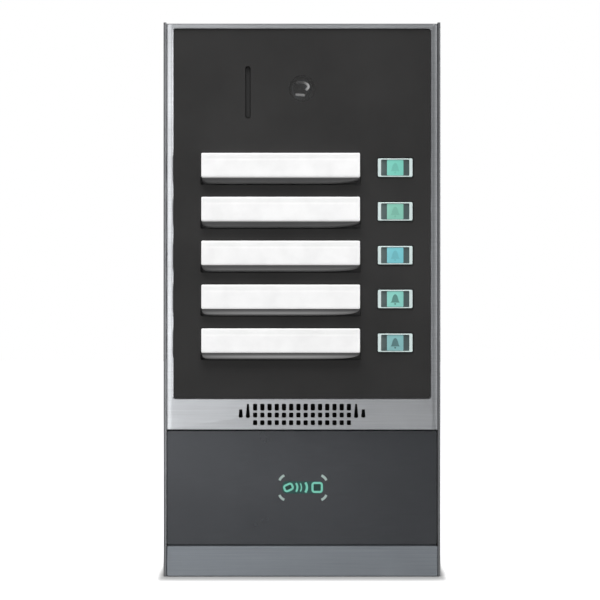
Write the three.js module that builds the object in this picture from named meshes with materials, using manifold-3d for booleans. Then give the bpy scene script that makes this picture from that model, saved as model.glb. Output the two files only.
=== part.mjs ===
// Door intercom panel for a shared entrance: five name-plate call keys, camera, microphone,
// loudspeaker and card reader in a surface-mounted aluminium housing.
// Millimetres. +X is to the right of a visitor, +Z is up, and the visitor stands on the -Y side.
// The origin is the middle of the rear face, on the wall. Depths are counted inwards from the
// front plane of the silver frame.
import * as THREE from 'three';
import { mergeVertices } from 'three/addons/utils/BufferGeometryUtils.js';
import Module from 'manifold-3d';

const wasm = await Module();
wasm.setup();

// ---------- driving dimensions ----------
const panelWidth = 96;
const panelHeight = 192;
const panelDepth = 32;
const gap = 0.3; // between neighbouring pieces
const seam = 0.12; // fine joint line that shows on the front
const overlap = 0.5; // how far joined blocks run into each other
const through = 1; // how far a cutting block runs past the face it opens

const halfWidth = panelWidth / 2;
const halfHeight = panelHeight / 2;

// side rails
const railWall = 1;
const railInner = halfWidth - railWall;
const railRear = 31.4; // the rails stop short of the wall
const railNose = 0.55;
const railGroove = { depths: [24, 9], deep: 0.4, wide: 0.8, taper: 0.2 };
const lip = { front: 5.7, rear: 6.9, reach: 1.75 };

// heights of the joints between the front pieces
const openingTop = 93.9;
const bandTop = -34.35;
const bandBottom = -45.2;
const readerTop = bandBottom - gap;
const barTop = -85.25;

// silver frame around the fascia
const frameHalf = railInner - seam;
const frameTop = 95.6;
const stripWidth = 2.26;
const frameInner = frameHalf - stripWidth;
const frameDepth = 5.4;
const frameBevel = 0.25;
const openingRadius = 0.9;
const ledge = { front: 3.9, half: 41.3, low: -28, high: 88, radius: 2 };

// black fascia
const fasciaHalf = frameInner - seam;
const fasciaTop = openingTop - seam;
const fasciaFront = 0.5;
const fasciaRear = 3.6;
const keyClearance = 0.35;

// walls that close the housing above and below
const topCap = { low: 93.95, high: frameTop, front: 5.7, radius: 0.3 };
const bottomCap = { front: -0.1, wall: 2.4, floor: 2.1, sideWall: 1.6, webRear: 11.5, bevel: 0.3 };

// speaker grille punched in the band
const holePitch = 2.5;
const holeWidth = 1.5;
const holeRadius = 0.35;
const fullColumns = 14;
const holeRows = [[-38.55, -36.15], [-40.95, -39.2], [-43.6, -41.85]];
const endSlots = [
  { low: -41.1, high: -36.2, headShare: 0.45 },
  { low: -41, high: -38.1, headShare: 0.7 },
];
const grilleThickness = 1.9;
const soundPocket = { half: 24, low: -44.2, high: -35.5 };

// graphite reader plate
const readerPlate = { front: 1, rear: 3.8, bevel: 0.2, radius: 0.5 };
const iconPocket = { half: 10.1, tall: 6.5, front: 2.7 };

// call keys, each placed by the top edge of its white name plate
const keyCount = 5;
const keyPitch = 15.18;
const firstKeyTop = 50.65;
const plate = { left: -34.85, right: 20.05, height: 8.4 };
const chin = { top: -8.6, bottom: -10.65, front: -1.9 };
const coverFront = -2.4;
const coverRear = 3.2;
const coverWall = 1;
const coverBevel = 0.4;
const cardFront = -1.2;
const cardRear = -0.95;
const bell = { left: 26.3, right: 38.3, top: -1.8, bottom: -8.15 };
const bellFront = 0.15;
const bellWall = 0.9;
const bellFace = 0.95;
const flange = { left: -37.2, right: 40.4, top: 0.9, bottom: -11.9, front: 3.9, rear: 5.1 };
const coreInset = 1.3;
const keyTravel = 1;
const stem = { x: 2, z: -5.1, radius: 2, end: 7.4 };

// switches under the keys: the plunger follows the key at three quarters of its travel
const plunger = { front: stem.end + gap, length: 2.2, radius: 1.75 };
const tactSwitch = { half: 3.1, front: 8.8, rear: 11.3 };

// boards and chassis
const mat = { half: 41, low: -24.5, high: 57, radius: 2, thickness: 0.9 };
const matFront = flange.rear + keyTravel + gap;
const boardThickness = 1.6;
const keyBoardFront = tactSwitch.rear + gap;
const mainBoard = { front: 16, half: 40.3, low: -50, high: 86, radius: 2 };
const mainBoardRear = mainBoard.front + boardThickness;
const chassis = {
  half: 44.2, halfHeight: 91.4, front: 5.8, rear: 21.5, wall: 1.6, floor: 1.5, radius: 1.5,
  rimFront: 4.1, bossX: 36, bossZ: [-46, 80], bossRadius: 2.4, padX: 41.2, padZ: [-11, 49], padHalf: 4,
};
const terminals = {
  ways: 5, pitch: 4.4, firstX: -22.8, left: -25, right: -3, low: -28, high: -16, rear: 27,
  mouth: { half: 1.3, front: 23.5, rear: 26, high: -22 }, screw: { z: -19, radius: 1.4, front: 25.8 },
};
const terminalWindow = { left: -27, right: -1, low: -30, high: -14 };

// back box
const backBox = { half: 46.7, halfHeight: 93.6, wall: 1.8, front: 12, floor: 29, radius: 2 };
const wallSlot = { x: 30, z: 72, half: 2.3, tall: 5 };
const entry = { half: 17, low: -53, high: -37, radius: 2 };
const gasket = { outerX: 45, outerZ: 92.2, width: 2.8, depth: 1.6 };
const grommet = { collar: 2, throatX: 14.5, throatInset: 2.5 };
const lockScrew = { x: 30, depth: 25.5, shank: 1.5, head: 2.75, headHigh: 1, length: 6, socket: 1.15 };

// camera, microphone, speaker and reader places
const cameraZ = 73.1;
const cameraWindow = { radius: 4.45, hole: 4.6, thickness: 1.2 };
const cameraBoard = { half: 10.5, front: 13.3, thickness: 1.2 };
const micX = -18.75;
const micHoleZ = 66;
const micSlot = { width: 1.9, low: 62.7, high: 80.9, depth: 1.1 };
const micHoleRadius = 0.6;
const speakerZ = -42;
const foam = { half: 24.8, low: speakerZ - 11.3, high: speakerZ + 11, radius: 8, front: 5.75, rear: 6.6 };
const iconZ = -64.8;
const antenna = { half: 42.2, low: -89.4, high: -55, front: 4.3, thickness: 1.2 };
const lightGuide = { half: 9.8, tall: 6.2, front: 3, rear: 4 };

// ---------- solids ----------
const yAt = (depth) => depth - panelDepth;

function toSolid(geometry) {
  geometry.deleteAttribute('normal');
  geometry.deleteAttribute('uv');
  const merged = mergeVertices(geometry, 1e-4);
  const mesh = new wasm.Mesh({
    numProp: 3,
    vertProperties: new Float32Array(merged.attributes.position.array),
    triVerts: new Uint32Array(merged.index.array),
  });
  return new wasm.Manifold(mesh);
}

// a box between two corners, with its depth counted from the front plane
function block(left, right, front, rear, low, high) {
  const box = new THREE.BoxGeometry(right - left, rear - front, high - low);
  box.translate((left + right) / 2, yAt((front + rear) / 2), (low + high) / 2);
  return toSolid(box);
}

function roundedRect(left, right, low, high, radius) {
  const shape = new THREE.Shape();
  shape.moveTo(left + radius, low);
  shape.absarc(right - radius, low + radius, radius, -Math.PI / 2, 0);
  shape.absarc(right - radius, high - radius, radius, 0, Math.PI / 2);
  shape.absarc(left + radius, high - radius, radius, Math.PI / 2, Math.PI);
  shape.absarc(left + radius, low + radius, radius, Math.PI, Math.PI * 1.5);
  return shape;
}

function polygon(points) {
  return new THREE.Shape(points.map(([x, y]) => new THREE.Vector2(x, y)));
}

// a front outline carried from one depth to another, with its edges broken by the bevel
function slab(shape, front, rear, { bevel = 0, curveSegments = 2 } = {}) {
  const extruded = new THREE.ExtrudeGeometry(shape, {
    depth: rear - front - 2 * bevel,
    bevelEnabled: bevel > 0,
    bevelThickness: bevel,
    bevelSize: bevel,
    bevelOffset: -bevel,
    bevelSegments: 1,
    curveSegments,
  });
  extruded.rotateX(Math.PI / 2);
  extruded.translate(0, yAt(rear) - bevel, 0);
  return toSolid(extruded);
}

// a plan outline (X, Y) carried up from one height to another
function column(shape, low, high, { bevel = 0, curveSegments = 2 } = {}) {
  const extruded = new THREE.ExtrudeGeometry(shape, {
    depth: high - low - 2 * bevel,
    bevelEnabled: bevel > 0,
    bevelThickness: bevel,
    bevelSize: bevel,
    bevelOffset: -bevel,
    bevelSegments: 1,
    curveSegments,
  });
  extruded.translate(0, 0, low + bevel);
  return toSolid(extruded);
}

// a round bar along the depth
function rod(x, z, radius, front, rear, sides = 24) {
  const bar = new THREE.CylinderGeometry(radius, radius, rear - front, sides);
  bar.translate(x, yAt((front + rear) / 2), z);
  return toSolid(bar);
}

// a round bar standing up
function post(x, depth, radius, low, high, sides = 20) {
  const bar = new THREE.CylinderGeometry(radius, radius, high - low, sides);
  bar.rotateX(Math.PI / 2);
  bar.translate(x, yAt(depth), (low + high) / 2);
  return toSolid(bar);
}

// a turned piece: [radius, depth] points about an axis that runs along the depth
function turned(points, x, z, sides = 32) {
  const profile = points.map(([radius, depth]) => new THREE.Vector2(radius, yAt(depth)));
  const lathe = new THREE.LatheGeometry(profile, sides);
  lathe.translate(x, 0, z);
  return toSolid(lathe);
}

const join = (...solids) => solids.reduce((whole, piece) => whole.add(piece));
const cut = (solid, ...tools) => tools.reduce((rest, tool) => rest.subtract(tool), solid);

function finish(color, roughness, metalness = 0, opacity = 1) {
  return new THREE.MeshStandardMaterial({
    color,
    roughness,
    metalness,
    opacity,
    transparent: opacity < 1,
  });
}

function piece(name, solid, material) {
  const { vertProperties, triVerts } = solid.getMesh();
  const geometry = new THREE.BufferGeometry();
  geometry.setAttribute('position', new THREE.BufferAttribute(vertProperties, 3));
  geometry.setIndex(new THREE.BufferAttribute(triVerts, 1));
  geometry.computeVertexNormals();
  const mesh = new THREE.Mesh(geometry, material);
  mesh.name = name;
  return mesh;
}

// ---------- finishes ----------
const silver = () => finish(0xa9acb0, 0.38, 0.9);
const darkAlloy = () => finish(0x4a4c50, 0.42, 0.85);
const blackGloss = () => finish(0x353637, 0.35);
const blackPlastic = () => finish(0x1d1e20, 0.6);
const greyPlastic = () => finish(0x8a8c8e, 0.4);
const rubber = () => finish(0x161617, 0.85);
const clear = () => finish(0xf4f7f7, 0.08, 0, 0.45);
const board = () => finish(0x1f5a3c, 0.55);
const steel = () => finish(0xb8babd, 0.3, 1);

// ---------- housing ----------
function makeBackBox() {
  const { half, halfHeight: tall, wall, front, floor, radius } = backBox;
  const outer = slab(roundedRect(-half, half, -tall, tall, radius), front, panelDepth);
  const innerX = half - wall;
  const innerZ = tall - wall;
  const hollow = slab(roundedRect(-innerX, innerX, -innerZ, innerZ, radius / 2), front - through, floor);
  const cableEntry = slab(
    roundedRect(-entry.half, entry.half, entry.low, entry.high, entry.radius),
    floor - through, panelDepth + through,
  );
  const gasketGroove = gasketRing(0, panelDepth - gasket.depth, panelDepth + through);
  let box = cut(outer, hollow, cableEntry, gasketGroove);
  for (const x of [-wallSlot.x, wallSlot.x]) {
    for (const z of [-wallSlot.z, wallSlot.z]) {
      const outline = roundedRect(
        x - wallSlot.half, x + wallSlot.half, z - wallSlot.tall, z + wallSlot.tall, wallSlot.half - 0.01,
      );
      box = cut(box, slab(outline, floor - through, panelDepth + through));
    }
  }
  for (const side of [-1, 1]) {
    box = cut(box, lockScrewPost(side, lockScrew.shank + gap, -tall - through, -tall + wall + through));
  }
  return piece('back_box', box, blackPlastic());
}

// the flat ring that seals the back box against the wall, smaller all round by the inset
function gasketRing(inset, front, rear) {
  const outerX = gasket.outerX - inset;
  const outerZ = gasket.outerZ - inset;
  const innerX = gasket.outerX - gasket.width + inset;
  const innerZ = gasket.outerZ - gasket.width + inset;
  const ring = roundedRect(-outerX, outerX, -outerZ, outerZ, 3);
  ring.holes.push(roundedRect(-innerX, innerX, -innerZ, innerZ, 1.5));
  return slab(ring, front, rear);
}

function makeWallGasket() {
  return piece('wall_gasket', gasketRing(gap, panelDepth - gasket.depth + gap, panelDepth), rubber());
}

// a rubber ring that plugs into the cable entry from inside, with a collar on the box floor
function makeCableGrommet() {
  const plugHalf = entry.half - gap;
  const collarHalf = plugHalf + grommet.collar;
  const { throatX, throatInset, collar } = grommet;
  const plug = roundedRect(-plugHalf, plugHalf, entry.low + gap, entry.high - gap, entry.radius - 0.2);
  const rim = roundedRect(
    -collarHalf, collarHalf, entry.low + gap - collar, entry.high - gap + collar, entry.radius + 0.5,
  );
  const throat = roundedRect(-throatX, throatX, entry.low + throatInset, entry.high - throatInset, 1.2);
  const ring = join(
    slab(plug, backBox.floor - 0.8, panelDepth - 0.4),
    slab(rim, backBox.floor - 1.1, backBox.floor - gap),
  );
  return piece('cable_grommet', cut(ring, slab(throat, backBox.floor - 3, panelDepth + through)), rubber());
}

// an extruded side rail over the whole height: a wall with a rounded front edge, a clamping lip
// that is notched where the caps sit, and two fine grooves
function makeSideRail(name, side) {
  const outer = halfWidth;
  const rail = new THREE.Shape();
  rail.moveTo(outer, yAt(railRear));
  for (const groove of railGroove.depths) {
    rail.lineTo(outer, yAt(groove + railGroove.wide));
    rail.lineTo(outer - railGroove.deep, yAt(groove + railGroove.wide - railGroove.taper));
    rail.lineTo(outer - railGroove.deep, yAt(groove + railGroove.taper));
    rail.lineTo(outer, yAt(groove));
  }
  rail.lineTo(outer, yAt(railNose));
  rail.absarc(outer - railNose, yAt(railNose), railNose, 0, -Math.PI / 2, true);
  rail.lineTo(railInner + 0.15, yAt(0));
  rail.lineTo(railInner, yAt(0.15));
  rail.lineTo(railInner, yAt(lip.front));
  rail.lineTo(railInner - lip.reach, yAt(lip.front));
  rail.lineTo(railInner - lip.reach, yAt(lip.rear));
  rail.lineTo(railInner, yAt(lip.rear));
  rail.lineTo(railInner, yAt(railRear));
  const notch = (low, high) => block(
    railInner - lip.reach - through, railInner, lip.front - gap, lip.rear + gap, low, high,
  );
  const solid = cut(
    column(rail, -halfHeight, halfHeight),
    notch(topCap.low - gap, halfHeight + through),
    notch(-halfHeight - through, barTop + gap),
  );
  return piece(name, side > 0 ? solid : solid.mirror([1, 0, 0]), darkAlloy());
}

function makeTopCap() {
  const { low, high, front, radius } = topCap;
  const outline = roundedRect(-frameHalf, frameHalf, yAt(front), yAt(railRear), radius);
  return piece('top_cap', column(outline, low, high, { bevel: 0.2, curveSegments: 1 }), silver());
}

// a round bar along the axis of one lock screw
function lockScrewPost(side, radius, low, high, sides = 20) {
  return post(side * lockScrew.x, lockScrew.depth, radius, low, high, sides);
}

// the bar that shows below the reader, with the floor of the housing and two short webs behind it
function makeBottomCap() {
  const { front, wall, floor, sideWall, webRear, bevel } = bottomCap;
  const outline = roundedRect(-frameHalf, frameHalf, -halfHeight, barTop, 0.5);
  const outer = slab(outline, front, railRear, { bevel, curveSegments: 1 });
  const innerX = frameHalf - sideWall;
  const floorZ = -halfHeight + floor;
  let cap = cut(
    outer,
    block(-innerX, innerX, front + wall, panelDepth, floorZ, barTop + through),
    block(-halfWidth, halfWidth, webRear, panelDepth, floorZ, barTop + through),
  );
  const below = -halfHeight - through;
  const headSeat = -halfHeight + lockScrew.headHigh + gap;
  for (const side of [-1, 1]) {
    cap = cut(
      cap,
      lockScrewPost(side, lockScrew.shank + gap, below, floorZ + through),
      lockScrewPost(side, lockScrew.head + gap, below, headSeat),
    );
  }
  return piece('bottom_cap', cap, silver());
}

function makeSecurityScrew(name, side) {
  const under = -halfHeight + 0.1;
  const head = lockScrewPost(side, lockScrew.head, under, under + lockScrew.headHigh, 24);
  const shank = lockScrewPost(side, lockScrew.shank, -halfHeight + 1, -halfHeight + 1 + lockScrew.length, 16);
  const socket = lockScrewPost(side, lockScrew.socket, -halfHeight - through, -halfHeight + 0.8, 6);
  return piece(name, cut(join(head, shank), socket), steel());
}

// ---------- front ----------
function grilleHoles() {
  const holes = [];
  const front = -through;
  const rear = grilleThickness + through;
  const firstX = -holePitch * (fullColumns - 1) / 2;
  for (let i = 0; i < fullColumns; i += 1) {
    const x = firstX + i * holePitch;
    for (const [low, high] of holeRows) {
      const outline = roundedRect(x - holeWidth / 2, x + holeWidth / 2, low, high, holeRadius);
      holes.push(slab(outline, front, rear, { curveSegments: 1 }));
    }
  }
  for (const side of [-1, 1]) {
    endSlots.forEach(({ low, high, headShare }, step) => {
      const x = side * (-firstX + (step + 1) * holePitch);
      const foot = holeWidth / 2;
      const head = foot * headShare;
      const outline = polygon([
        [x - foot, low + holeRadius], [x - foot + holeRadius, low], [x + foot - holeRadius, low],
        [x + foot, low + holeRadius], [x + head, high], [x - head, high],
      ]);
      holes.push(slab(outline, front, rear));
    });
  }
  return holes;
}

// one casting: the silver surround and the speaker band, with a ledge behind that carries the fascia
function makeFrontFrame() {
  const face = polygon([
    [-frameHalf, bandBottom], [frameHalf, bandBottom], [frameHalf, frameTop], [-frameHalf, frameTop],
  ]);
  face.holes.push(roundedRect(-frameInner, frameInner, bandTop, openingTop, openingRadius));
  const shelf = roundedRect(
    -frameInner - overlap, frameInner + overlap, bandTop - overlap, openingTop + overlap, openingRadius,
  );
  shelf.holes.push(roundedRect(-ledge.half, ledge.half, ledge.low, ledge.high, ledge.radius));
  const pocket = block(
    -soundPocket.half, soundPocket.half, grilleThickness, frameDepth + through,
    soundPocket.low, soundPocket.high,
  );
  const whole = join(slab(face, 0, frameDepth, { bevel: frameBevel }), slab(shelf, ledge.front, frameDepth));
  return piece('front_frame', cut(whole, pocket, ...grilleHoles()), silver());
}

const keyTop = (row) => firstKeyTop - row * keyPitch;

function makeFascia() {
  const outline = roundedRect(-fasciaHalf, fasciaHalf, bandTop + seam, fasciaTop, openingRadius - seam);
  for (let row = 0; row < keyCount; row += 1) {
    const top = keyTop(row);
    outline.holes.push(roundedRect(
      plate.left - keyClearance, plate.right + keyClearance,
      top + chin.bottom - keyClearance, top + keyClearance, 0.6,
    ));
    outline.holes.push(roundedRect(
      bell.left - keyClearance, bell.right + keyClearance,
      top + bell.bottom - keyClearance, top + bell.top + keyClearance, 0.6,
    ));
  }
  const halfSlot = micSlot.width / 2;
  const slot = roundedRect(micX - halfSlot, micX + halfSlot, micSlot.low, micSlot.high, halfSlot - 0.05);
  return piece('upper_fascia', cut(
    slab(outline, fasciaFront, fasciaRear, { curveSegments: 1 }),
    slab(slot, -through, fasciaFront + micSlot.depth),
    rod(0, cameraZ, cameraWindow.hole, 0, fasciaRear + through, 32),
    rod(micX, micHoleZ, micHoleRadius, 0, fasciaRear + through, 12),
  ), blackGloss());
}

function makeReaderPanel() {
  const { front, rear, bevel, radius } = readerPlate;
  const { half, tall, front: pocketFront } = iconPocket;
  const outline = roundedRect(-frameHalf, frameHalf, barTop + seam, readerTop, radius);
  const pocket = block(-half, half, pocketFront, rear + through, iconZ - tall, iconZ + tall);
  const solid = cut(slab(outline, front, rear, { bevel }), pocket);
  return piece('reader_panel', solid, finish(0x3c3f42, 0.45, 0.5));
}

// ---------- call keys ----------
// grey carrier: a flange behind the fascia, a core under the name plate, a crowned chin below
// it, a core under the bell window and the stem that works the switch
function makeCallKey(row) {
  const left = plate.left + 0.2;
  const right = plate.right - 0.2;
  const shoulder = chin.top - 0.6; // where the straight ends of the chin stop
  const crown = new THREE.Shape();
  crown.moveTo(left, chin.top);
  crown.lineTo(left, shoulder);
  crown.bezierCurveTo(left + 2, chin.bottom, left + 8, chin.bottom, left + 16, chin.bottom);
  crown.lineTo(right - 12, chin.bottom);
  crown.bezierCurveTo(right - 6, chin.bottom, right - 1.5, chin.bottom + 0.2, right, shoulder);
  crown.lineTo(right, chin.top);
  const middle = (flange.front + flange.rear) / 2;
  const coreX = coverWall + 0.4;
  const bellCore = bellWall + gap;
  const solid = join(
    block(flange.left, flange.right, flange.front, flange.rear, flange.bottom, flange.top),
    block(
      plate.left + coreX, plate.right - coreX, cardRear + 0.15, middle, -plate.height + coreInset, -coreInset,
    ),
    slab(crown, chin.front, middle, { bevel: 0.15, curveSegments: 3 }),
    block(
      bell.left + bellCore, bell.right - bellCore, bellFront + bellFace + 0.4, middle,
      bell.bottom + bellCore, bell.top - bellCore,
    ),
    rod(stem.x, stem.z, stem.radius, middle, stem.end, 20),
  );
  return piece(`call_key_${row + 1}`, solid, greyPlastic());
}

function makeNameCard(row) {
  const edge = coverWall + 0.2;
  const card = block(
    plate.left + edge, plate.right - edge, cardFront, cardRear, -plate.height + edge, -edge,
  );
  return piece(`name_card_${row + 1}`, card, finish(0xf7f7f5, 0.7));
}

// a clear cap, hollow from behind
function cap(left, right, low, high, front, rear, wall, faceThickness, bevel) {
  const outer = slab(roundedRect(left, right, low, high, 0.5), front, rear, { bevel, curveSegments: 1 });
  const inner = block(left + wall, right - wall, front + faceThickness, rear + 1, low + wall, high - wall);
  return cut(outer, inner);
}

function makeKeyCover(row) {
  const solid = cap(
    plate.left, plate.right, -plate.height, 0, coverFront, coverRear,
    coverWall, cardFront - 0.15 - coverFront, coverBevel,
  );
  return piece(`key_cover_${row + 1}`, solid, clear());
}

function makeBellWindow(row) {
  const solid = cap(
    bell.left, bell.right, bell.bottom, bell.top, bellFront, coverRear, bellWall, bellFace, coverBevel / 2,
  );
  return piece(`bell_window_${row + 1}`, solid, finish(0x7fd0c4, 0.12, 0, 0.6));
}

function makeSwitch(row) {
  const { half, front, rear } = tactSwitch;
  const body = block(stem.x - half, stem.x + half, front, rear, stem.z - half, stem.z + half);
  const bore = rod(stem.x, stem.z, plunger.radius + gap, front - through, rear - 0.4, 24);
  return piece(`tact_switch_${row + 1}`, cut(body, bore), blackPlastic());
}

function makePlunger(row) {
  const { front, length, radius } = plunger;
  const solid = rod(stem.x, stem.z, radius, front, front + length, 24);
  return piece(`switch_plunger_${row + 1}`, solid, finish(0xc9b48a, 0.5));
}

// ---------- inside ----------
function makeKeyMat() {
  const outline = roundedRect(-mat.half, mat.half, mat.low, mat.high, mat.radius);
  for (let row = 0; row < keyCount; row += 1) {
    const hole = new THREE.Path();
    hole.absarc(stem.x, keyTop(row) + stem.z, stem.radius + 1, 0, Math.PI * 2);
    outline.holes.push(hole);
  }
  const solid = slab(outline, matFront, matFront + mat.thickness, { curveSegments: 5 });
  return piece('key_mat', solid, finish(0x3a3c3f, 0.8));
}

// an L-shaped board that leaves the upper right free for the camera
function makeKeyBoard() {
  const outline = polygon([[-42.2, -21], [42.2, -21], [42.2, 58], [-13.5, 58], [-13.5, 86], [-42.2, 86]]);
  return piece('key_board', slab(outline, keyBoardFront, keyBoardFront + boardThickness), board());
}

function makeBoardLink() {
  const front = keyBoardFront + boardThickness + gap;
  return piece('board_link', block(22, 38, front, mainBoard.front - gap, -14, -9), blackPlastic());
}

function makeMainBoard() {
  const { front, half, low, high, radius } = mainBoard;
  const rear = mainBoardRear;
  const solid = join(
    slab(roundedRect(-half, half, low, high, radius), front, rear),
    block(-18, 6, front - 1.6, front + overlap, 20, 44), // shield over the processor
    block(14, 24, front - 1.1, front + overlap, 26, 38), // memory
    block(12, 28, rear - overlap, rear + 1.9, -46, -36), // door relay
    rod(30, 10, 3.2, rear - overlap, rear + 2, 16), // capacitors
    rod(30, 20, 3.2, rear - overlap, rear + 2, 16),
  );
  return piece('main_board', solid, board());
}

// a row of screw terminals that reaches back through the chassis floor
function makeTerminalBlock() {
  const { left, right, low, high, rear, mouth, screw } = terminals;
  let body = block(left, right, mainBoardRear + gap, rear, low, high);
  for (let way = 0; way < terminals.ways; way += 1) {
    const x = terminals.firstX + way * terminals.pitch;
    body = cut(
      body,
      block(x - mouth.half, x + mouth.half, mouth.front, mouth.rear, low - through, mouth.high),
      rod(x, screw.z, screw.radius, screw.front, rear + through, 12),
    );
  }
  return piece('terminal_block', body, finish(0x2f7a4a, 0.5));
}

// an open tray behind the boards, with a low rim under the reader, bosses and pads for the boards
function makeChassis() {
  const { half, halfHeight: high, front, rear, wall, rimFront } = chassis;
  const innerX = half - wall;
  const innerZ = high - wall;
  const floor = rear - chassis.floor;
  const rimLow = -high + wall;
  let tray = cut(
    slab(roundedRect(-half, half, -high, high, chassis.radius), front, rear),
    slab(roundedRect(-innerX, innerX, -innerZ, innerZ, 1), front - through, floor),
    block(
      terminalWindow.left, terminalWindow.right, floor - through, rear + through,
      terminalWindow.low, terminalWindow.high,
    ),
  );
  tray = join(tray, block(-half, half, rimFront, front + overlap, -high + 1.5, rimLow));
  for (const side of [-1, 1]) {
    const rimX = [side * half, side * innerX].sort((a, b) => a - b);
    tray = join(tray, block(...rimX, rimFront, front + overlap, -high + 1.5, bandBottom - 1.5));
    for (const z of chassis.bossZ) {
      const boss = rod(side * chassis.bossX, z, chassis.bossRadius, mainBoardRear + gap, floor + overlap, 16);
      tray = join(tray, boss);
    }
    for (const z of chassis.padZ) {
      const padX = [side * chassis.padX, side * (innerX + overlap)].sort((a, b) => a - b);
      const padFront = keyBoardFront + boardThickness + gap;
      tray = join(tray, block(...padX, padFront, floor + overlap, z - chassis.padHalf, z + chassis.padHalf));
    }
  }
  return piece('chassis', tray, blackPlastic());
}

function makeCamera() {
  const { radius, thickness } = cameraWindow;
  const { half, front, thickness: boardDepth } = cameraBoard;
  const dome = [[0, 2.3], [1, 2.42], [1.9, 2.8], [2.7, 3.45], [3.2, 4.3], [3.4, 5.2], [3.4, 6.4], [0, 6.4]];
  const barrel = [
    [0, 6.9], [3.7, 6.9], [3.7, 4.5], [4.3, 4.5], [4.9, 5.1], [4.9, 8.5], [5.6, 8.5], [5.6, 13], [0, 13],
  ];
  const pane = rod(0, cameraZ, radius, fasciaFront, fasciaFront + thickness, 32);
  const circuit = block(-half, half, front, front + boardDepth, cameraZ - half, cameraZ + half);
  return [
    piece('camera_window', pane, finish(0x202326, 0.05, 0, 0.5)),
    piece('camera_lens', turned(dome, 0, cameraZ, 24), finish(0x1a2430, 0.04, 0, 0.6)),
    piece('camera_barrel', turned(barrel, 0, cameraZ, 24), blackPlastic()),
    piece('camera_board', circuit, board()),
  ];
}

function makeMicrophone() {
  const boot = [
    [0.7, 3.9], [4, 3.9], [4, 11.2], [3.3, 11.2], [3.3, 5.4], [0.7, 5.4], [0.7, 3.9],
  ];
  return [
    piece('microphone_boot', turned(boot, micX, micHoleZ, 16), rubber()),
    piece('microphone_capsule', rod(micX, micHoleZ, 3, 5.7, 8.4, 24), steel()),
  ];
}

// foam ring, basket, oval cone and magnet, one behind the other
function makeSpeaker() {
  const { half, low, high, radius, front, rear } = foam;
  const seal = roundedRect(-half, half, low, high, radius);
  seal.holes.push(roundedRect(-22, 22, low + 2.6, high - 2.6, 6));
  const basket = cut(
    join(
      slab(roundedRect(-half, half, low, high, radius), 6.9, 8.1, { curveSegments: 3 }),
      slab(roundedRect(-22.5, 22.5, speakerZ - 9, speakerZ + 9, 7), 8, 12.2, { curveSegments: 3 }),
    ),
    slab(roundedRect(-21, 21, speakerZ - 7.5, speakerZ + 7.5, 6), 6, 11, { curveSegments: 3 }),
    rod(0, speakerZ, 5, 10, 13),
  );
  const dish = new THREE.LatheGeometry([
    [0, 9.6], [2, 9.6], [6.6, 7.2], [7, 7.2], [7, 7.7], [2.4, 10.3], [0, 10.3],
  ].map(([across, depth]) => new THREE.Vector2(across, yAt(depth))), 24);
  dish.scale(2.85, 1, 1);
  dish.translate(0, 0, speakerZ);
  return [
    piece('speaker_gasket', slab(seal, front, rear, { curveSegments: 3 }), rubber()),
    piece('speaker_basket', basket, blackPlastic()),
    piece('speaker_cone', toSolid(dish), finish(0x2a2623, 0.9)),
    piece('speaker_magnet', rod(0, speakerZ, 8, 12.5, 15.6, 32), steel()),
  ];
}

function makeReader() {
  const guide = lightGuide;
  const coil = antenna;
  return [
    piece('reader_light_guide', block(
      -guide.half, guide.half, guide.front, guide.rear, iconZ - guide.tall, iconZ + guide.tall,
    ), clear()),
    piece('reader_antenna_board', block(
      -coil.half, coil.half, coil.front, coil.front + coil.thickness, coil.low, coil.high,
    ), board()),
  ];
}

// ---------- assembly ----------
const group = new THREE.Group();
group.add(
  makeBackBox(),
  makeWallGasket(),
  makeCableGrommet(),
  makeSideRail('left_side_rail', -1),
  makeSideRail('right_side_rail', 1),
  makeTopCap(),
  makeBottomCap(),
  makeSecurityScrew('security_screw_left', -1),
  makeSecurityScrew('security_screw_right', 1),
  makeFrontFrame(),
  makeFascia(),
  makeReaderPanel(),
  makeChassis(),
  makeKeyMat(),
  makeKeyBoard(),
  makeBoardLink(),
  makeMainBoard(),
  makeTerminalBlock(),
  ...makeCamera(),
  ...makeMicrophone(),
  ...makeSpeaker(),
  ...makeReader(),
);

for (let row = 0; row < keyCount; row += 1) {
  const rowGroup = new THREE.Group();
  rowGroup.position.z = keyTop(row);
  rowGroup.add(
    makeCallKey(row),
    makeNameCard(row),
    makeKeyCover(row),
    makeBellWindow(row),
    makeSwitch(row),
    makePlunger(row),
  );
  group.add(rowGroup);
}

export default group;
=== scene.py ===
import math

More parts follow.
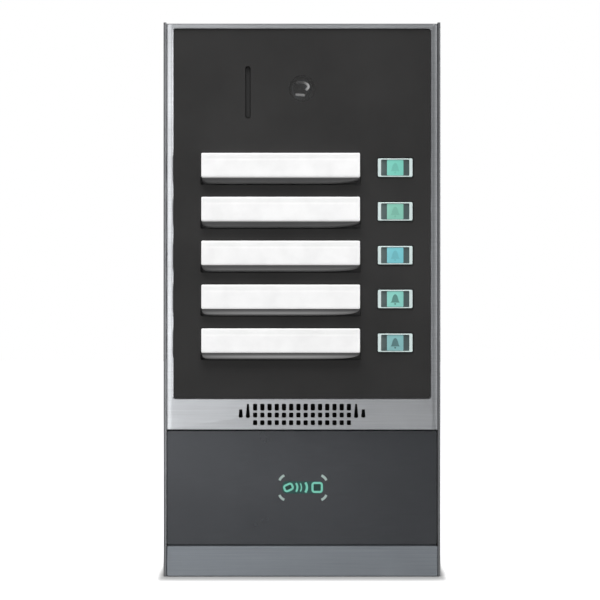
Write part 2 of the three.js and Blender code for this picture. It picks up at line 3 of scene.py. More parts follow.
import bmesh
import bpy
import numpy as np
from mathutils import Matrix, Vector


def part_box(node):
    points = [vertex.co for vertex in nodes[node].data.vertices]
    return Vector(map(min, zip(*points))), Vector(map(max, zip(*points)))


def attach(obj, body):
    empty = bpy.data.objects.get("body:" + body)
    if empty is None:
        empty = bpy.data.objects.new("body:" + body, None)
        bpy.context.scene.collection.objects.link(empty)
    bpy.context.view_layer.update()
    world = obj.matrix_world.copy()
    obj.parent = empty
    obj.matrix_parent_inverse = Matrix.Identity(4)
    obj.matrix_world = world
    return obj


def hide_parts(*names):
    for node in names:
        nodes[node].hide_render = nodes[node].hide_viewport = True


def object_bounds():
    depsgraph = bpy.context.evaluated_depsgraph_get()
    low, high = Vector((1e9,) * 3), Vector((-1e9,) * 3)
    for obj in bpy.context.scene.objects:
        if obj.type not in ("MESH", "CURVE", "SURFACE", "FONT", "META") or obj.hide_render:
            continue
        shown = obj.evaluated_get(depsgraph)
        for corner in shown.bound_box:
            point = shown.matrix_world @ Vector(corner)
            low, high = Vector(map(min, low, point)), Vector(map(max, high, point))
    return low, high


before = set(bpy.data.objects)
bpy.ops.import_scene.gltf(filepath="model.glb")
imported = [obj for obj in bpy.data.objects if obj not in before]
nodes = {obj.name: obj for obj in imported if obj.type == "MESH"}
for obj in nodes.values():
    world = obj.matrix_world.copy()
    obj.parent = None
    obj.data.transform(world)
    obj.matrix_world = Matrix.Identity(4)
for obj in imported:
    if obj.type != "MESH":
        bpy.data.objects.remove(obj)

cadLow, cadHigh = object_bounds()
mm = 0.001
rowCount = sum(name.startswith("key_cover_") for name in nodes)
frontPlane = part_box("front_frame")[0].y
print("frame loaded:", len(nodes), "nodes,", rowCount, "call keys")


# shader node helpers
def setInputs(node, inputs):
    for label, value in inputs.items():
        node.inputs[label].default_value = value


def addNode(tree, kind, settings=None, inputs=None, **values):
    # settings are the node's own choices; inputs and values go to its sockets
    node = tree.nodes.new("ShaderNode" + kind)
    for key, value in (settings or {}).items():
        setattr(node, key, value)
    setInputs(node, {**(inputs or {}), **values})
    return node


def addMath(tree, operation, kind="Math", **settings):
    return addNode(tree, kind, {"operation": operation, **settings})


def joinNodes(tree, *links):
    # each link is a node and its output, then a node and its input
    for start, output, end, place in links:
        tree.links.new(start.outputs[output], end.inputs[place])


# camera, lights and floor
cameraSet = {
    "lens": 150.0, "sensor": 36.0, "span": 207.9 * mm, "aside": -0.7 * mm, "lift": -0.2 * mm,
    "near": 0.01, "far": 20,
}


def makeCamera():
    # level and square to the panel, as far back as makes the span fill the picture's width
    data = bpy.data.cameras.new("viewCamera")
    data.lens = cameraSet["lens"]
    data.sensor_width = cameraSet["sensor"]
    data.clip_start, data.clip_end = cameraSet["near"], cameraSet["far"]
    camera = bpy.data.objects.new("viewCamera", data)
    away = cameraSet["span"] * cameraSet["lens"] / cameraSet["sensor"]
    camera.location = (cameraSet["aside"], frontPlane - away, cameraSet["lift"])
    camera.rotation_euler = (math.pi / 2, 0, 0)
    bpy.context.scene.collection.objects.link(camera)
    bpy.context.scene.camera = camera


makeCamera()

# each soft box: its place, size, brightness and the point it looks at
lightSet = {
    "leftBox": ((-0.36, -1.00, -0.10), (0.46, 0.80), 2.2, (0, -0.03, 0)),
    "rightBox": ((0.78, -0.76, 0.02), (0.40, 0.90), 0.75, (0, -0.03, 0)),
    "overBox": ((-0.08, -0.36, 0.90), (0.60, 0.40), 15.0, (0, -0.03, 0)),
    "highBox": ((0.12, -0.82, 0.52), (0.50, 0.16), 2.6, (0, -0.03, 0.07)),
    "lowBox": ((-0.14, -0.55, -0.085), (0.36, 0.016), 2.6, (-0.03, -0.03, -0.06)),
    "leftRim": ((-1.10, 0.02, -0.45), (0.50, 0.80), 1.6, (0, 0, 0)),
    "rightRim": ((1.10, -0.02, -0.20), (0.50, 1.10), 5.0, (0, 0, 0)),
    "backBox": ((0.10, 0.80, 0.45), (0.90, 0.60), 1.2, (0, 0, 0)),
}
stageSet = {
    "backdrop": 1.0, "softLight": 0.20, "mirrored": 0.24,
    "unmirrored": ("overBox",),  # would draw a white line along every ledge
    "floorTone": 0.40, "floorRough": 0.5, "floorReach": 3.0, "floorDrop": 0.05 * mm,
    "floorGlow": (0.02, 1.05), "glowReach": 0.024, "glowAside": 6.0,
}


def makeLights():
    for name, (place, size, glow, aim) in lightSet.items():
        data = bpy.data.lights.new(name, "AREA")
        data.shape = "RECTANGLE"
        data.size, data.size_y = size
        data.energy = glow * math.pi * data.size * data.size_y  # an even lamp of that brightness
        light = bpy.data.objects.new(name, data)
        light.location = place
        light.rotation_euler = (Vector(aim) - Vector(place)).to_track_quat("-Z", "Y").to_euler()
        light.visible_camera = False
        light.visible_glossy = name not in stageSet["unmirrored"]
        bpy.context.scene.collection.objects.link(light)


def makeWorld():
    # white where the camera looks past the panel, softer where it lights, darker where gloss mirrors it
    world = bpy.data.worlds.new("studioWorld")
    world.use_nodes = True
    tree = world.node_tree
    sky = tree.nodes["Background"]
    setInputs(sky, {"Color": (1, 1, 1, 1)})
    ray = addNode(tree, "LightPath")
    mirrored = addNode(tree, "Mix", A=stageSet["softLight"], B=stageSet["mirrored"])
    seen = addNode(tree, "Mix", B=stageSet["backdrop"])
    joinNodes(
        tree, (ray, "Is Glossy Ray", mirrored, "Factor"), (ray, "Is Camera Ray", seen, "Factor"),
        (mirrored, "Result", seen, "A"), (seen, "Result", sky, "Strength"),
    )
    bpy.context.scene.world = world


def makeFloor():
    # a pale sheet whose own glow only the camera sees, so it stays white. The glow rises smoothly
    # with the distance outside the panel's foot, which leaves a soft contact shadow
    reach = stageSet["floorReach"]
    level = cadLow.z - stageSet["floorDrop"]
    mesh = bpy.data.meshes.new("studioFloor")
    corners = [(x * reach, y * reach, level) for x, y in ((-1, -1), (1, -1), (1, 1), (-1, 1))]
    mesh.from_pydata(corners, [], [(0, 1, 2, 3)])
    floor = bpy.data.objects.new("studioFloor", mesh)
    material = bpy.data.materials.new("paleFloor")
    material.use_nodes = True
    tree = material.node_tree
    shader = tree.nodes["Principled BSDF"]
    tone = stageSet["floorTone"]
    colours = {"Base Color": (tone, tone, tone, 1), "Emission Color": (1, 1, 1, 1)}
    setInputs(shader, {**colours, "Roughness": stageSet["floorRough"]})
    flow, output = addNode(tree, "TexCoord"), "Object"
    for operation, value in (
        ("ABSOLUTE", None), ("SUBTRACT", (cadHigh.x, -cadLow.y, 1)), ("MAXIMUM", (0, 0, 0)),
        ("MULTIPLY", (stageSet["glowAside"], 1, 0)), ("LENGTH", None),
    ):
        step = addMath(tree, operation, "VectorMath")
        if value:
            setInputs(step, {1: value})
        joinNodes(tree, (flow, output, step, 0))
        flow, output = step, 0
    low, high = stageSet["floorGlow"]
    ramp = addNode(
        tree, "MapRange", {"interpolation_type": "SMOOTHSTEP"},
        {"From Max": stageSet["glowReach"], "To Min": low, "To Max": high},
    )
    ray = addNode(tree, "LightPath")
    glow = addMath(tree, "MULTIPLY")
    joinNodes(
        tree, (flow, "Value", ramp, "Value"), (ray, "Is Camera Ray", glow, 0), (ramp, "Result", glow, 1),
        (glow, 0, shader, "Emission Strength"),
    )
    mesh.materials.append(material)
    bpy.context.scene.collection.objects.link(floor)


bpy.context.scene.view_settings.view_transform = "Standard"
makeLights()
makeWorld()
makeFloor()
print("camera, lights and floor ready")


# shader groups shared by several finishes
def newGroup(name, inputs, outputs):
    # a group with a Vector input, more inputs with their starting values, and number outputs
    group = bpy.data.node_groups.new(name, "ShaderNodeTree")
    group.interface.new_socket("Vector", in_out="INPUT", socket_type="NodeSocketVector")
    for label, value in inputs.items():
        kind = "NodeSocketVector" if isinstance(value, tuple) else "NodeSocketFloat"
        group.interface.new_socket(label, in_out="INPUT", socket_type=kind).default_value = value
    for label in outputs:
        group.interface.new_socket(label, in_out="OUTPUT", socket_type="NodeSocketFloat")
    return group, group.nodes.new("NodeGroupInput"), group.nodes.new("NodeGroupOutput")


def makeGrainGroup():
    # two sizes of noise: the coarse one drifts the tone, the fine one is the surface grain
    group, start, end = newGroup("surfaceGrain", {"Fine": 2500.0, "Coarse": 40.0}, ("Height", "Drift"))
    fine = addNode(group, "TexNoise", Detail=3.0, Roughness=0.6)
    coarse = addNode(group, "TexNoise", Detail=4.0, Roughness=0.55)
    for noise, scale, result in ((fine, "Fine", "Height"), (coarse, "Coarse", "Drift")):
        joinNodes(
            group, (start, "Vector", noise, "Vector"), (start, scale, noise, "Scale"),
            (noise, "Fac", end, result),
        )
    return group


def makeBrushGroup():
    # noise squeezed across one axis, so it runs in long fine lines along it
    group, start, end = newGroup("brushedLines", {"Squeeze": (30.0, 900.0, 2600.0)}, ("Height", "Tone"))
    scale = addMath(group, "MULTIPLY", "VectorMath")
    lines = addNode(group, "TexNoise", Scale=1.0, Detail=2.0, Roughness=0.7)
    spread = {"From Min": 0.3, "From Max": 0.7, "To Min": 0.93, "To Max": 1.05}
    tone = addNode(group, "MapRange", None, spread)
    joinNodes(
        group, (start, "Vector", scale, 0), (start, "Squeeze", scale, 1), (scale, 0, lines, "Vector"),
        (lines, "Fac", tone, "Value"), (lines, "Fac", end, "Height"), (tone, "Result", end, "Tone"),
    )
    return group


def makeWearGroup():
    # how far a rounded normal turns from the true one, broken up by noise: bright only along edges
    group, start, end = newGroup("edgeWear", {"Reach": 0.0004, "Amount": 3.0}, ("Mask",))
    rounded = addNode(group, "Bevel", {"samples": 4})
    true = addNode(group, "NewGeometry")
    turn = addMath(group, "DOT_PRODUCT", "VectorMath")
    away = addMath(group, "SUBTRACT")
    setInputs(away, {0: 1.0})
    patch = addNode(group, "TexNoise", Scale=160.0, Detail=5.0)
    broken = addMath(group, "MULTIPLY")
    strong = addMath(group, "MULTIPLY", use_clamp=True)
    joinNodes(
        group, (start, "Reach", rounded, "Radius"), (rounded, "Normal", turn, 0), (true, "Normal", turn, 1),
        (turn, "Value", away, 1), (start, "Vector", patch, "Vector"), (away, 0, broken, 0),
        (patch, "Fac", broken, 1), (broken, 0, strong, 0), (start, "Amount", strong, 1),
        (strong, 0, end, "Mask"),
    )
    return group


def makeHandlingGroup():
    # soft blotches where hands have wiped the surface, read as a change of roughness
    group, start, end = newGroup("handling", {"Scale": 55.0, "Low": 0.3, "High": 0.42}, ("Roughness",))
    blotch = addNode(group, "TexNoise", Detail=6.0, Roughness=0.62, Distortion=0.6)
    ranged = addNode(group, "MapRange", None, {"From Min": 0.3, "From Max": 0.7})
    joinNodes(
        group, (start, "Vector", blotch, "Vector"), (start, "Scale", blotch, "Scale"),
        (blotch, "Fac", ranged, "Value"), (start, "Low", ranged, "To Min"),
        (start, "High", ranged, "To Max"), (ranged, "Result", end, "Roughness"),
    )
    return group


grainGroup = makeGrainGroup()
brushGroup = makeBrushGroup()
wearGroup = makeWearGroup()
handlingGroup = makeHandlingGroup()

# finishes: each function makes one material and keeps it here under its name
finishes = {}
# the lamps behind the bell windows come from different batches, so each is tinted a little differently
lampTints = (
    (0.20, 0.61, 0.51), (0.23, 0.55, 0.44), (0.19, 0.57, 0.63), (0.24, 0.60, 0.53), (0.22, 0.46, 0.47),
)
deepRows = (4, 5)  # rows whose bell is printed darker
inkSet = {"lampBody": 0.55, "lampGlow": 0.50, "deepInk": 0.42, "faintInk": 0.84}


def shade(tone, share):
    return tuple(min(1.0, part * share) for part in tone)


def useGroup(tree, group, place, **values):
    node = addNode(tree, "Group", {"node_tree": group}, **values)
    joinNodes(tree, (place, "Object", node, "Vector"))
    return node


def startMaterial(name):
    material = bpy.data.materials.new(name)
    material.use_nodes = True
    finishes[name] = material
    tree = material.node_tree
    return tree, tree.nodes["Principled BSDF"], addNode(tree, "TexCoord")


def tintBy(tree, grain, dark, light):
    # a colour that slides from dark to light as the grain's drift rises through its middle third
    ranged = addNode(tree, "MapRange", None, {"From Min": 0.35, "From Max": 0.65})
    mix = addNode(tree, "Mix", {"data_type": "RGBA"}, A=(*dark, 1), B=(*light, 1))
    joinNodes(tree, (grain, "Drift", ranged, "Value"), (ranged, "Result", mix, "Factor"))
    return mix


def addBump(tree, shader, source, output, strength, distance):
    bump = addNode(tree, "Bump", Strength=strength, Distance=distance)
    joinNodes(tree, (source, output, bump, "Height"), (bump, "Normal", shader, "Normal"))


def metalFinish(name, tone, rough, squeeze, worn, lines=0.12, metal=1.0):
    # anodised aluminium: fine lines in tone and height, paler where edges are rubbed
    tree, shader, place = startMaterial(name)
    setInputs(shader, {"Metallic": metal})
    brush = useGroup(tree, brushGroup, place, Squeeze=squeeze)
    grain = useGroup(tree, grainGroup, place, Fine=3200.0, Coarse=26.0)
    wear = useGroup(tree, wearGroup, place, Reach=0.35 * mm, Amount=2.2)
    hands = useGroup(tree, handlingGroup, place, Scale=42.0, Low=rough - 0.02, High=rough + 0.03)
    base = tintBy(tree, grain, shade(tone, 0.94), shade(tone, 1.05))
    lined = addMath(tree, "SCALE", "VectorMath")
    rubbed = addNode(tree, "Mix", {"data_type": "RGBA"}, B=(*worn, 1))
    joinNodes(
        tree, (base, "Result", lined, 0), (brush, "Tone", lined, "Scale"), (wear, "Mask", rubbed, "Factor"),
        (lined, 0, rubbed, "A"), (rubbed, "Result", shader, "Base Color"),
        (hands, "Roughness", shader, "Roughness"),
    )
    addBump(tree, shader, brush, "Height", lines, 0.012 * mm)


def plasticFinish(
    name, tone, rough, grain=2000.0, depth=0.02, strength=0.25, spread=0.06, alpha=1.0, shine=0.5,
):
    # moulded plastic: spark-eroded grain, a slow drift in tone and handled patches
    tree, shader, place = startMaterial(name)
    marks = useGroup(tree, grainGroup, place, Fine=grain, Coarse=30.0)
    hands = useGroup(tree, handlingGroup, place, Scale=48.0, Low=rough - spread / 2, High=rough + spread)
    base = tintBy(tree, marks, shade(tone, 0.88), shade(tone, 1.1))
    joinNodes(tree, (base, "Result", shader, "Base Color"), (hands, "Roughness", shader, "Roughness"))
    setInputs(shader, {"Alpha": alpha, "Specular IOR Level": shine})
    addBump(tree, shader, marks, "Height", strength, depth * mm)


def litFinish(name, tone, glow, strength, rough=0.3):
    # a lit piece: its glow is uneven by a few hundredths, as behind a moulded diffuser
    tree, shader, place = startMaterial(name)
    grain = useGroup(tree, grainGroup, place, Fine=1400.0, Coarse=120.0)
    base = tintBy(tree, grain, shade(tone, 0.94), tone)
    light = tintBy(tree, grain, shade(glow, 0.9), glow)
    joinNodes(tree, (base, "Result", shader, "Base Color"), (light, "Result", shader, "Emission Color"))
    setInputs(shader, {"Emission Strength": strength, "Roughness": rough})
    addBump(tree, shader, grain, "Height", 0.1, 0.01 * mm)


def paintedHighlightFinish(name, tone, rough):
    # grey plastic with a painted highlight: it glows where the piece's own attribute says, standing in for
    # reflected light
    plasticFinish(name, tone, rough, grain=1800.0, depth=0.004, strength=0.1)
    tree = finishes[name].node_tree
    shader = tree.nodes["Principled BSDF"]
    paintedHighlight = addNode(tree, "Attribute", {"attribute_name": "paintedHighlight"})
    joinNodes(tree, (paintedHighlight, "Fac", shader, "Emission Color"))
    setInputs(shader, {"Emission Strength": 1.0})


def glassFinish(name, tone, rough, ior=1.49):
    # clear or smoked plastic: light passes its shadow side, so what lies behind stays lit
    tree, shader, place = startMaterial(name)
    setInputs(shader, {"Base Color": (*tone, 1), "Transmission Weight": 1.0, "IOR": ior})
    hands = useGroup(tree, handlingGroup, place, Scale=90.0, Low=rough, High=rough + 0.05)
    through = addNode(tree, "BsdfTransparent", Color=(*tone, 1))
    ray = addNode(tree, "LightPath")
    mix = addNode(tree, "MixShader")
    joinNodes(
        tree, (hands, "Roughness", shader, "Roughness"), (ray, "Is Shadow Ray", mix, "Fac"),
        (shader, 0, mix, 1), (through, 0, mix, 2), (mix, 0, tree.nodes["Material Output"], "Surface"),
    )


def boardFinish(name):
    # solder mask over copper: square-cornered tracks from a fine brick pattern, pads from round cells
    tree, shader, place = startMaterial(name)
    turn = addNode(tree, "Mapping", Rotation=(math.pi / 2, 0, 0))
    tracks = addNode(tree, "TexBrick", {"offset": 0.37}, {
        "Scale": 260.0, "Mortar Size": 0.05, "Mortar Smooth": 0.1, "Color1": (0.012, 0.10, 0.045, 1),
        "Color2": (0.010, 0.085, 0.038, 1), "Mortar": (0.03, 0.19, 0.09, 1),
    })
    pads = addNode(tree, "TexVoronoi", Scale=190.0)
    dots = addMath(tree, "LESS_THAN")
    setInputs(dots, {1: 0.13})
    mix = addNode(tree, "Mix", {"data_type": "RGBA"}, B=(0.62, 0.60, 0.55, 1))
    joinNodes(
        tree, (place, "Object", turn, "Vector"), (turn, "Vector", tracks, "Vector"),
        (place, "Object", pads, "Vector"), (pads, "Distance", dots, 0), (dots, 0, mix, "Factor"),
        (tracks, "Color", mix, "A"), (mix, "Result", shader, "Base Color"),
        (dots, 0, shader, "Metallic"),
    )
    setInputs(shader, {"Roughness": 0.38})
    addBump(tree, shader, tracks, "Fac", 0.3, 0.03 * mm)


metalFinish("silverFrame", (0.52, 0.535, 0.555), 0.30, (30, 900, 2200), (0.72, 0.73, 0.74))
metalFinish("silverBar", (0.30, 0.325, 0.355), 0.42, (30, 900, 2200), (0.55, 0.57, 0.60))
metalFinish("darkRail", (0.24, 0.245, 0.255), 0.36, (900, 2200, 30), (0.40, 0.41, 0.42))
metalFinish(
    "readerGraphite", (0.077, 0.081, 0.088), 0.25, (120, 900, 1400), (0.16, 0.165, 0.17), lines=0.05,
    metal=0.84,
)
metalFinish("screwSteel", (0.55, 0.56, 0.57), 0.24, (1200, 1200, 300), (0.8, 0.8, 0.8), lines=0.08)
plasticFinish(
    "fasciaBlack", (0.0335, 0.0330, 0.0328), 0.46, grain=2600.0, depth=0.006, strength=0.15, spread=0.05,
    shine=0.12,
)
plasticFinish("mouldedBlack", (0.018, 0.018, 0.019), 0.55, grain=1500.0, depth=0.05, strength=0.5)
plasticFinish("barrelBlack", (0.010, 0.010, 0.011), 0.42, grain=3000.0, depth=0.01)
plasticFinish("sealRubber", (0.014, 0.014, 0.015), 0.82, grain=900.0, depth=0.08, strength=0.6)
plasticFinish("siliconeGrey", (0.06, 0.062, 0.066), 0.7, grain=1200.0)
plasticFinish("terminalGreen", (0.025, 0.19, 0.08), 0.45, grain=1500.0)
plasticFinish("switchBlack", (0.025, 0.025, 0.027), 0.5)
plasticFinish("plungerTan", (0.56, 0.42, 0.22), 0.45, depth=0.01)
plasticFinish("coneBlack", (0.022, 0.020, 0.018), 0.9, grain=700.0, depth=0.12, strength=0.8)
plasticFinish("micGauze", (0.034, 0.034, 0.034), 0.9, grain=4000.0, depth=0.1, strength=1.0, shine=0.1)
plasticFinish("smokedPane", (0.058, 0.0575, 0.0570), 0.46, grain=2600.0, depth=0.002, alpha=0.45, shine=0.12)
plasticFinish("bellDark", (0.070, 0.105, 0.105), 0.3, depth=0.005)
plasticFinish("readerDeep", (0.003, 0.036, 0.029), 0.3, depth=0.004)
plasticFinish("readerShade", (0.012, 0.066, 0.058), 0.3, depth=0.004)
# these two finishes glow with painted light: highlights on the key lips and a glint by the camera lens
paintedHighlightFinish("keyGrey", (0.082, 0.082, 0.083), 0.34)
paintedHighlightFinish("statusGuide", (0.30, 0.30, 0.31), 0.25)
litFinish("cardWhite", (0.93, 0.93, 0.92), (1.0, 1.0, 0.99), 0.30, rough=0.7)
litFinish("coverOpal", (0.74, 0.74, 0.74), (1.0, 1.0, 1.0), 0.27, rough=0.2)
litFinish("bellFrame", (0.66, 0.77, 0.76), (0.80, 0.97, 0.95), 0.06, rough=0.2)
litFinish("readerGlow", (0.12, 0.34, 0.27), (0.22, 0.80, 0.62), 0.32)
litFinish("readerPale", (0.24, 0.30, 0.28), (0.60, 0.78, 0.74), 0.22)
glassFinish("lensGlass", (0.55, 0.62, 0.72), 0.0, ior=1.6)
glassFinish("guideClear", (0.92, 0.97, 0.96), 0.05)
boardFinish("boardGreen")
for row, tint in enumerate(lampTints, start=1):
    ink = shade(tint, inkSet["deepInk"] if row in deepRows else inkSet["faintInk"])
    litFinish(f"bellLamp{row}", shade(tint, inkSet["lampBody"]), tint, inkSet["lampGlow"])
    litFinish(f"bellMark{row}", shade(ink, inkSet["lampBody"]), ink, inkSet["lampGlow"])
print("finishes ready:", len(finishes))


# mesh work
closing = 9 * mm  # an inset past every half height, so that the last ring shrinks to a sliver of a face
tiny = 0.02 * mm
ringSteps = 6
pieceSharp = 32.0  # degrees past which an edge stays crisp


def makePiece(name, verts, faces, finish, body, slot):
    mesh = bpy.data.meshes.new(name)
    mesh.from_pydata(np.asarray(verts, float).tolist(), [], faces)
    work = bmesh.new()
    work.from_mesh(mesh)
    bmesh.ops.remove_doubles(work, verts=work.verts, dist=1e-7)
    bmesh.ops.recalc_face_normals(work, faces=work.faces)
    work.to_mesh(mesh)
    work.free()
    return placePiece(name, mesh, finish, body)


def placePiece(name, mesh, finish, body, sharpAngle=pieceSharp):
    mesh.polygons.foreach_set("use_smooth", [True] * len(mesh.polygons))
    mesh.set_sharp_from_angle(angle=math.radians(sharpAngle))
    mesh.materials.append(finishes[finish])
    piece = bpy.data.objects.new(name, mesh)
    bpy.context.scene.collection.objects.link(piece)
    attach(piece, body)
    return piece


def skinFaces(rings, around, closedPath=False):
    # quads between neighbouring rings; each end is one flat face unless the path closes on itself
    faces = []
    last = rings if closedPath else rings - 1
    for i in range(last):
        a = i * around
        b = ((i + 1) % rings) * around
        faces += [(a + k, a + (k + 1) % around, b + (k + 1) % around, b + k) for k in range(around)]
    if not closedPath:
        faces.append(tuple(range(around - 1, -1, -1)))
        faces.append(tuple((rings - 1) * around + k for k in range(around)))
    return faces


def roundedRing(left, right, low, high, radius, depth, steps=ringSteps):
    # a rectangle whose corners are quarter circles: centre + radius * (cos, sin), corner by corner
    turn = np.linspace(0, np.pi / 2, steps)
    centres = (
        (right - radius, high - radius), (left + radius, high - radius),
        (left + radius, low + radius), (right - radius, low + radius),
    )
    xs = [cx + radius * np.cos(turn + k * np.pi / 2) for k, (cx, _) in enumerate(centres)]
    zs = [cz + radius * np.sin(turn + k * np.pi / 2) for k, (_, cz) in enumerate(centres)]
    x = np.concatenate(xs)
    return np.column_stack([x, np.full(x.size, depth), np.concatenate(zs)])


def carryRound(edges, radius, profile):
    # a profile of (inset, depth) carried round a rounded rectangle; the inset shrinks the rectangle
    left, right, low, high = edges
    most = min(right - left, high - low) / 2 - tiny
    rings = []
    for inset, depth in profile:
        step = min(inset, most)
        corner = max(radius - step, tiny)
        rings.append(roundedRing(left + step, right - step, low + step, high - step, corner, depth, 5))
    return np.concatenate(rings), skinFaces(len(rings), rings[0].shape[0])


def quarterTurn(depth, reach):
    # a rounded edge from the side wall to the face: (reach * (1 - cos), depth + reach - reach * sin)
    turn = np.linspace(0, np.pi / 2, 4)
    return list(zip(reach * (1 - np.cos(turn)), depth + reach - reach * np.sin(turn)))


def plainBlock(edges, front, rear, corner=0.4 * mm, edge=0.15 * mm):
    # a rounded rectangle with a flat back, straight sides and a rounded front edge
    profile = [(closing, rear), (0.0, rear)] + quarterTurn(front, edge) + [(closing, front)]
    return carryRound(edges, corner, profile)


def shrinkEdges(edges, inset):
    return edges[0] + inset, edges[1] - inset, edges[2] + inset, edges[3] - inset


def turnedSurface(x, z, profile, steps=64):
    # (radius, depth) points spun about the depth axis: x + radius * cos, z + radius * sin
    turn = np.linspace(0, 2 * np.pi, steps, endpoint=False)
    radius, depth = np.array(profile, float).T
    grid = np.stack([
        x + radius[:, None] * np.cos(turn),
        np.repeat(depth[:, None], steps, axis=1),
        z + radius[:, None] * np.sin(turn),
    ], axis=2)
    return grid.reshape(-1, 3), skinFaces(len(profile), steps)


def ribbon(path, width, depth, thickness, closedPath=False):
    # a flat band carried along a line: each point moves half the width to both sides along its normal
    path = np.asarray(path, float)
    if closedPath:
        ahead, behind = np.roll(path, -1, axis=0), np.roll(path, 1, axis=0)
    else:
        ahead = np.vstack([path[1:], path[-1:]])
        behind = np.vstack([path[:1], path[:-1]])
    along = ahead - behind
    along /= np.linalg.norm(along, axis=1)[:, None]
    aside = np.column_stack([-along[:, 1], along[:, 0]]) * width / 2
    corners = []
    for side, y in ((1, depth), (1, depth + thickness), (-1, depth + thickness), (-1, depth)):
        edge = path + side * aside
        corners.append(np.column_stack([edge[:, 0], np.full(len(path), y), edge[:, 1]]))
    verts = np.stack(corners, axis=1).reshape(-1, 3)
    return verts, skinFaces(len(path), 4, closedPath)


def flatPiece(outline, depth, thickness):
    # a flat outline given a thickness
    outline = np.asarray(outline, float)
    front = np.column_stack([outline[:, 0], np.full(len(outline), depth), outline[:, 1]])
    rear = front + np.array([0, thickness, 0])
    return np.vstack([front, rear]), skinFaces(2, len(outline))


def mergeParts(*parts):
    # several (points, faces) shapes as one
    verts, faces, start = [], [], 0
    for points, quads in parts:
        verts.append(points)
        faces += [tuple(i + start for i in face) for face in quads]
        start += len(points)
    return np.vstack(verts), faces


def readPoints(piece):
    points = np.empty(len(piece.data.vertices) * 3, np.float32)
    piece.data.vertices.foreach_get("co", points)
    return points.reshape(-1, 3).T


def writePaintedHighlight(piece, values):
    # how bright the painted highlight glows at each point of the piece, read by its finish
    share = piece.data.attributes.new("paintedHighlight", "FLOAT", "POINT")
    share.data.foreach_set("value", values.astype(np.float32))


softenSet = {"weld": 0.002 * mm, "flat": 0.5, "segments": 2, "sharp": 40.0}


def softenedCopy(node, name, finish, edge, shaping=None, sharp=softenSet["sharp"]):
    # the CAD shape with its corners merged and its hard edges given a small radius
    work = bmesh.new()
    work.from_mesh(nodes[node].data)
    bmesh.ops.remove_doubles(work, verts=work.verts, dist=softenSet["weld"])
    flat = math.radians(softenSet["flat"])
    bmesh.ops.dissolve_limit(work, angle_limit=flat, verts=work.verts, edges=work.edges)
    if shaping:
        shaping(work)
    mesh = bpy.data.meshes.new(name)
    work.to_mesh(mesh)
    work.free()
    if "custom_normal" in mesh.attributes:
        mesh.attributes.remove(mesh.attributes["custom_normal"])
    mesh.materials.clear()
    piece = placePiece(name, mesh, finish, "panel", sharp)
    bevel = piece.modifiers.new("edges", "BEVEL")
    bevel.width = edge
    bevel.segments = softenSet["segments"]
    bevel.limit_method = "ANGLE"
    bevel.angle_limit = math.radians(sharp)
    bevel.use_clamp_overlap = True
    normals = piece.modifiers.new("faces", "WEIGHTED_NORMAL")
    normals.keep_sharp = True
    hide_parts(node)


def boxEdges(node):
    # (left, right, low, high) of a CAD node, its front and its rear
    low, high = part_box(node)
    return (low.x, high.x, low.z, high.z), low.y, high.y


# housing
railSet = {
    "nose": 0.5 * mm, "steps": 8, "wall": 1.0 * mm, "innerEdge": 0.15 * mm,
    "grooves": (24 * mm, 9 * mm), "grooveDeep": 0.4 * mm, "grooveWide": 0.8 * mm, "grooveTaper": 0.2 * mm,
    "lipFront": 5.7 * mm, "lipRear": 6.9 * mm, "lipReach": 1.75 * mm, "lipRoot": 0.3 * mm,
    "lipLow": -84.9 * mm, "lipHigh": 93.6 * mm,
}


def makeRail(node, side):
    # the rail's plan section carried up its height: a wall with a rounded nose, two fine grooves outside
    # and a clamping lip inside that stops short of both caps
    low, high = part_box(node)
    outer = high.x if side > 0 else -low.x
    inner = outer - railSet["wall"]
    front, rear = low.y, high.y
    nose, deep = railSet["nose"], railSet["grooveDeep"]
    turn = np.linspace(0, -np.pi / 2, railSet["steps"])
    points = [(outer, rear)]
    for groove in railSet["grooves"]:
        start = frontPlane + groove
        wide, taper = railSet["grooveWide"], railSet["grooveTaper"]
        points += [(outer, start + wide), (outer - deep, start + wide - taper), (outer - deep, start + taper)]
        points += [(outer, start)]
    points += [(outer - nose + nose * math.cos(t), front + nose + nose * math.sin(t)) for t in turn]
    bevel = railSet["innerEdge"]
    points += [(inner + bevel, front), (inner, front + bevel), (inner, rear)]
    section = np.array(points) * np.array([side, 1.0])
    levels = (low.z, high.z)
    wall = np.concatenate([np.column_stack([section, np.full(len(section), level)]) for level in levels])
    reach = inner - railSet["lipReach"]
    root = inner + railSet["lipRoot"]
    lipFront, lipRear = frontPlane + railSet["lipFront"], frontPlane + railSet["lipRear"]
    corners = np.array([(root, lipFront), (reach, lipFront), (reach, lipRear), (root, lipRear)]) * [side, 1.0]
    ends = (railSet["lipLow"], railSet["lipHigh"])
    ledge = np.concatenate([np.column_stack([corners, np.full(4, level)]) for level in ends])
    parts = mergeParts((wall, skinFaces(2, len(section))), (ledge, skinFaces(2, 4)))
    piece = makePiece(node + "_extrusion", *parts, "darkRail", "panel", "dark_anodised")
    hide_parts(node)


makeRail("left_side_rail", -1)
makeRail("right_side_rail", 1)

frameSet = {
    "crown": 0.26 * mm, "cuts": 6, "topTilt": 0.22 * mm, "seam": 0.02 * mm, "sideEdge": 0.05 * mm,
    "opening": 0.4 * mm, "faceDeep": 1 * mm, "soft": 0.06 * mm, "sharp": 25.0,
}
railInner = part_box("right_side_rail")[1].x - railSet["wall"]


def meetRails(work):
    # the side edges run on until they nearly touch the rails
    edge = max(abs(vert.co.x) for vert in work.verts)
    for vert in work.verts:
        if abs(vert.co.x) > edge - tiny:
            vert.co.x = math.copysign(railInner - frameSet["seam"], vert.co.x)


def meetNeighbours(work):
    # the reader plate also runs down to the bottom bar
    meetRails(work)
    low = min(vert.co.z for vert in work.verts)
    for vert in work.verts:
        if vert.co.z < low + tiny:
            vert.co.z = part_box("bottom_cap")[1].z - frameSet["seam"]


